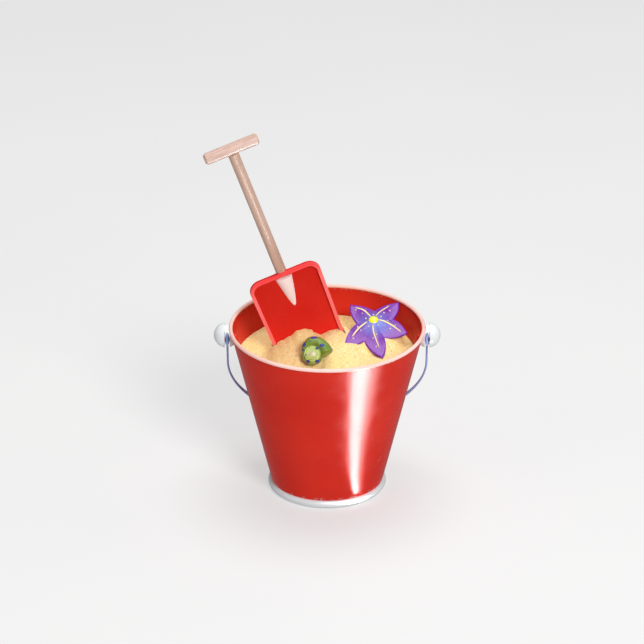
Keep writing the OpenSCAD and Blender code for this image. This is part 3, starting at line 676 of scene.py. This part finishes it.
# The heap's height along the blade, from its left edge to past its right one
heaped = [(-36, 147.5), (-34.9, 148.0), (-25.4, 151.5), (-17.7, 155.3), (-10.1, 161.2), (-2.2, 162.6),
          (3.7, 160.9), (7.0, 156.8), (12.6, 153.7), (16.9, 155.5), (21.2, 157.3), (26.9, 157.8),
          (34.4, 158.0), (40, 155)]
# Middle, height and radius of the mound behind the blade and of the starfish's bank
mound, bank = (-10, 17, 16, 50), (46, 30, 15, 30)


def inside_r(z, gap=0.0):
    """The pail's inner radius at height z, less a gap."""
    return foot_r - sheet - gap + slope * (z - foot_z)


def cap(x, y, cx, cy, high, wide):
    """The height of a round heap at x, y: its middle, its height and its radius."""
    ball = (wide * wide + high * high) / (2 * high)
    d2 = (x - cx) ** 2 + (y - cy) ** 2
    return high - ball + sqrt(max(0.0, ball * ball - d2)) if d2 < (wide * 1.3) ** 2 else -high


def swell(a, b, soft):
    """The higher of two heights, with the corner between them rounded."""
    gap = max(soft - abs(a - b), 0.0) / soft
    return max(a, b) + gap * gap * soft / 4


def heap_at(across):
    """The height of the heap against the blade, at a distance across it."""
    for (x0, z0), (x1, z1) in zip(heaped, heaped[1:]):
        if x0 <= across <= x1:
            f = (across - x0) / (x1 - x0)
            f = f * f * (3 - 2 * f)
            return z0 + (z1 - z0) * f
    return heaped[0][1] if across < heaped[0][0] else heaped[-1][1]


def sand_height(x, y):
    """The height of the sand's surface at x, y."""
    h = swell(cap(x, y, *mound), cap(x, y, *bank), 5)
    h = sand_level + swell(h, 0.0, 4)
    # the heap against the blade's face, which falls away to the front and behind
    place_here = Vector((x, y, h)) - blade_top
    across = place_here.dot(blade_side)
    off = place_here.dot(blade_back)
    target = heap_at(max(-38, min(38, across)))
    reach = 15.0 if off < 0 else 6.0
    side_fade = exp(-max(0.0, abs(across) - 34) ** 2 / 40)
    h += (target - h) * exp(-(off / reach) ** 2) * side_fade
    # gentle ripples and lumps
    p = Vector((x * 0.03, y * 0.03, 0.3))
    for size, high in ((1.0, 1.4), (3.1, 0.4), (9.0, 0.14), (30.0, 0.08)):
        h += noise.noise(p * size) * high
    # pressed down under the starfish and the shell
    b = (y - star_spot.y) / cos(star_tilt)
    share = edge_share(x - star_spot.x, b) if hypot(x - star_spot.x, b) < 60 else 9
    if share < 1.6:
        under = star_spot.z - 1.6 + (y - star_spot.y) * sin(star_tilt) / cos(star_tilt)
        ceiling = under + (0.6 if share < 0.95 else 0.6 + (share - 0.95) * 30)
        h = min(h, ceiling)
    d = hypot(x - shell_spot.x, y - shell_spot.y - 1)
    h -= 2.2 * exp(-(d / 11) ** 4)
    h += 1.3 * exp(-((d - 14) / 3) ** 2)
    return h


segments, ring_count = 420, 120
points, faces = [], []
points.append(Vector((0, 0, sand_height(0, 0))))
for ring in range(1, ring_count + 1):
    for k in range(segments):
        a = 2 * pi * k / segments
        f = ring / ring_count
        reach = inside_r(sand_level) * f
        h = sand_height(reach * cos(a), reach * sin(a))
        if ring == ring_count:
            h += 0.5
        stretch = inside_r(h, 0.25) / inside_r(sand_level)
        reach *= 1 + (stretch - 1) * f ** 6
        points.append(ring_spot(reach, a, h))
faces += [(0, 1 + k, 1 + (k + 1) % segments) for k in range(segments)]
for ring in range(ring_count - 1):
    for k in range(segments):
        a, b = 1 + ring * segments + k, 1 + ring * segments + (k + 1) % segments
        faces.append((a, a + segments, b + segments, b))
for low in (110, 60, 8.6):
    for k in range(segments):
        a = 2 * pi * k / segments
        reach = inside_r(low, 0.3)
        points.append(ring_spot(reach, a, low))
    for k in range(segments):
        a = len(points) - 2 * segments + k
        b = len(points) - 2 * segments + (k + 1) % segments
        faces.append((a, a + segments, b + segments, b))
faces.append(tuple(len(points) - 1 - k for k in range(segments)))
sand = skin("sand", [p * mm for p in points], faces)

# the slit that the blade stands in
profile = [(-36.4, 1.1), (36.4, 1.1), (36.4, -3.9), (31.2, -3.9), (31.2, -1.1), (-31.2, -1.1),
           (-31.2, -3.9), (-36.4, -3.9)]
cut_points = []
for z in (-122.3, -40.0):
    for x, y in profile:
        pinch = 1 if z > -100 else 34.2 / 36.4
        cut_points.append((blade_top + blade_side * x * pinch + blade_back * y + blade_up * z) * mm)
cut_faces = [tuple(range(8)), tuple(range(15, 7, -1))]
cut_faces += [(k, 8 + k, 8 + (k + 1) % 8, (k + 1) % 8) for k in range(8)]
cutter = skin("slit", cut_points, cut_faces, smooth=False)
for piece in (cutter, sand):
    fix = bmesh.new()
    fix.from_mesh(piece.data)
    bmesh.ops.recalc_face_normals(fix, faces=fix.faces)
    fix.to_mesh(piece.data)
    fix.free()
cut = sand.modifiers.new("slit", "BOOLEAN")
cut.object, cut.operation, cut.solver = cutter, "DIFFERENCE", "EXACT"
looked = bpy.context.evaluated_depsgraph_get()
sand_mesh = bpy.data.meshes.new_from_object(sand.evaluated_get(looked))
sand.modifiers.clear()
sand.data = sand_mesh
sand.data.shade_smooth()
bpy.data.objects.remove(cutter)

sand_yellow, sand_shader = finish("sand_yellow", screen(246, 210, 142), 0.92)
sand_shader.inputs["Specular IOR Level"].default_value = 0.25
at = place(sand_shader)
broad = between(sand_shader, cloud(sand_shader, at, 22, 4, 0.55), 0.35, 0.65)
tone = blend_colour(sand_shader, broad, screen(238, 211, 139), screen(241, 217, 154))
grains = step(sand_shader, "TexVoronoi", Vector=at, Scale=1250.0)
shade_of_grain = step(sand_shader, "SeparateColor", Color=grains.outputs["Color"])
# Every grain differs a little, and a few are nearly white or dark
odd_grains = ((0, 0.0, 1.0, 0.26, (236, 190, 118)), (1, 0.9, 0.93, 0.75, (255, 246, 222)),
              (2, 0.95, 0.97, 0.6, (150, 104, 60)))
for channel, low, high, most, colour in odd_grains:
    amount = between(sand_shader, shade_of_grain.outputs[channel], low, high, 0.0, most)
    tone = blend_colour(sand_shader, amount, tone, screen(*colour))
into(sand_shader, "Base Color", tone)
bumped = relief(sand_shader, grains.outputs["Distance"], 0.0004, 0.45)
bumped = relief(sand_shader, cloud(sand_shader, at, 420, 5, 0.7), 0.0005, 0.45, bumped)
relief(sand_shader, cloud(sand_shader, at, 110, 4, 0.6), 0.0006, 0.2, bumped)
coat(sand, sand_yellow)
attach(sand, "bucket")
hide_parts("sand_fill")


# ======================================================================================
# The spade's blade: pressed steel in red enamel, its edge folded forward. Along the fold a pink
# painted highlight is laid, paler below, and the face is darkened towards the top as painted
# shade. A white enamelled cone is welded through it to take the shaft.

def along(shader, at, way):
    """How far the place at is along the direction way."""
    return step(shader, "VectorMath", operation="DOT_PRODUCT", _0=at, _1=tuple(way)).outputs["Value"]


blade_red = enamel("blade_red", screen(228, 42, 34), screen(220, 38, 30), 0.22)
shader = blade_red.node_tree.nodes["Principled BSDF"]
at = step(shader, "TexCoord").outputs["Object"]
from_top = step(shader, "VectorMath", operation="SUBTRACT", _0=at, _1=tuple(blade_top * mm)).outputs[0]
forward, upward = along(shader, from_top, -blade_back), along(shader, from_top, blade_up)
painted = shader.inputs["Base Color"].links[0].from_socket
# The blade's face is darkened towards its top, as painted shade.
painted = blend_colour(shader, between(shader, upward, -0.085, -0.01), painted,
                       blend_colour(shader, 1.0, painted, screen(226, 232, 224), "MULTIPLY"))
# The folded edge gets a pink painted highlight, paler below its top 2 cm.
edge = between(shader, forward, 0.0011, 0.0014)
edge_painted_highlight = blend_colour(shader, between(shader, upward, -0.02, 0.0),
                         screen(255, 120, 118), screen(250, 70, 72))
painted = blend_colour(shader, edge, painted, edge_painted_highlight)
into(shader, "Base Color", painted)
coat(nodes["spade_blade"], blade_red)
soften(nodes["spade_blade"], 0.0005, 3)

socket_white = enamel("socket_white", screen(250, 232, 230), screen(240, 218, 214), 0.2)
coat(nodes["shaft_socket"], socket_white)
soften(nodes["shaft_socket"], 0.0005, 3)
coat(nodes["socket_pin"], wire_steel)


# ======================================================================================
# The shaft and its grip: two turned lengths of beech, sanded and waxed. The shaft is
# tenoned into the grip and held there by a peg of darker wood.

def beech(name, run, side, up, pale, dark):
    """Beech whose grain runs along run, with the short dark flecks that it has."""
    material, shader = finish(name, pale, 0.42)
    shader.inputs["Coat Weight"].default_value = 0.15
    shader.inputs["Coat Roughness"].default_value = 0.3
    at = step(shader, "TexCoord").outputs["Object"]
    at = step(shader, "VectorMath", operation="SUBTRACT", _0=at, _1=tuple(blade_top * mm)).outputs[0]
    grain_at = step(shader, "CombineXYZ", X=along(shader, at, side), Y=along(shader, at, up),
                    Z=along(shader, at, run)).outputs[0]
    long_at = step(shader, "Mapping", Vector=grain_at, Scale=(1, 1, 0.06)).outputs[0]
    fleck_at = step(shader, "Mapping", Vector=grain_at, Scale=(1, 1, 0.22)).outputs[0]
    lines = cloud(shader, long_at, 420, 5, 0.62, 0.4)
    broad = cloud(shader, long_at, 110, 3, 0.5, 0.8)
    tone = blend_colour(shader, between(shader, broad, 0.32, 0.68), pale, dark)
    tone = blend_colour(shader, between(shader, lines, 0.42, 0.72, 0.0, 0.55), tone, screen(150, 106, 80))
    flecks = step(shader, "TexVoronoi", Vector=fleck_at, Scale=620.0)
    fleck = between(shader, flecks.outputs["Distance"], 0.1, 0.22, 0.5, 0.0)
    tone = blend_colour(shader, fleck, tone, screen(128, 84, 58))
    into(shader, "Base Color", tone)
    into(shader, "Roughness", between(shader, lines, 0.3, 0.7, 0.36, 0.55))
    relief(shader, lines, 0.00012, 0.6)
    return material


shaft_beech = beech("shaft_beech", blade_up, blade_side, blade_back,
                    screen(206, 173, 156), screen(188, 152, 132))
grip_beech = beech("grip_beech", blade_side, blade_up, blade_back,
                   screen(216, 186, 174), screen(202, 168, 154))
peg_wood = beech("peg_wood", blade_back, blade_side, blade_up, screen(150, 108, 80), screen(126, 88, 62))
coat(nodes["spade_shaft"], shaft_beech)
coat(nodes["grip_bar"], grip_beech)
coat(nodes["grip_pin"], peg_wood)
soften(nodes["grip_bar"], 0.0006, 3)
